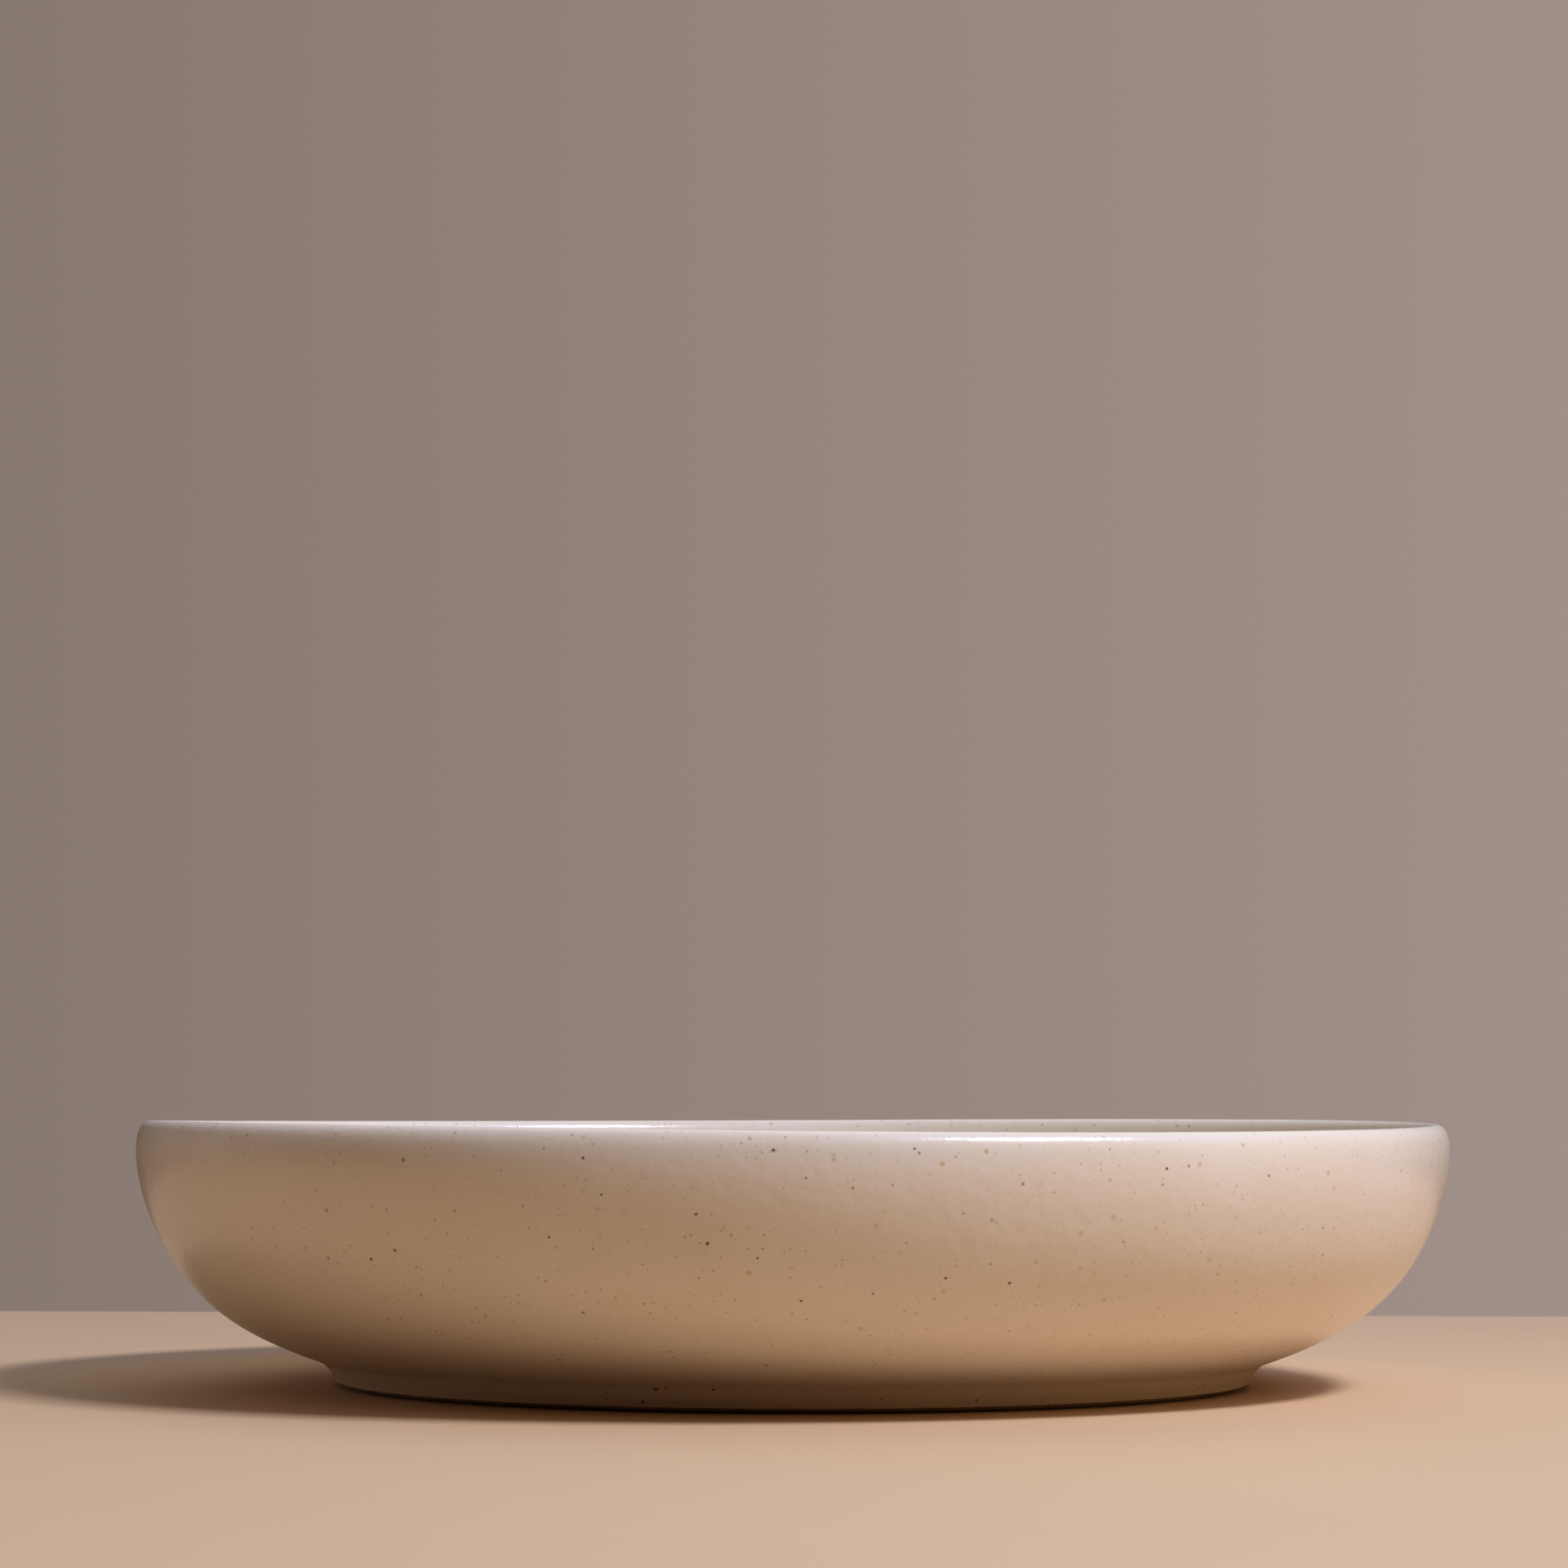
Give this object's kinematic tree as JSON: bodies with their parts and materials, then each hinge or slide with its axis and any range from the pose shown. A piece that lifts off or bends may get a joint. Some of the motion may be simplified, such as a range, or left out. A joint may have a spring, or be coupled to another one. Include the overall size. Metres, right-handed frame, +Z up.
{
  "type": "serving bowl",
  "caption": "Low wide stoneware serving bowl with a rounded lip, curved wall, flat floor and luted foot ring, in a satin cream glaze with iron speckles; holds and serves food.",
  "frame": {"origin": "centre of the foot ring's resting plane, on the bowl's axis", "axes": "+Z up along the bowl's axis, out of its mouth; +X and +Y lie in the resting plane, and the bowl is round about Z"},
  "size_m": [0.3, 0.3, 0.0596],
  "materials": {
    "stoneware": "fired buff stoneware, dry and slightly gritty",
    "foot_clay": "bare fired stoneware, rubbed smooth on the resting edge",
    "joining_slip": "fine-grained fired slip",
    "glaze_outside": "satin cream glaze with dark and amber iron speckles",
    "glaze_inside": "satin cream glaze with dark and amber iron speckles",
    "glaze_underside": "satin cream glaze with dark and amber iron speckles"
  },
  "bodies": {
    "root": {"bowl_body": "stoneware", "foot_ring": "foot_clay", "slip_joint": "joining_slip", "outer_glaze": "glaze_outside", "inner_glaze": "glaze_inside", "underside_glaze": "glaze_underside"}
  },
  "joints": []
}
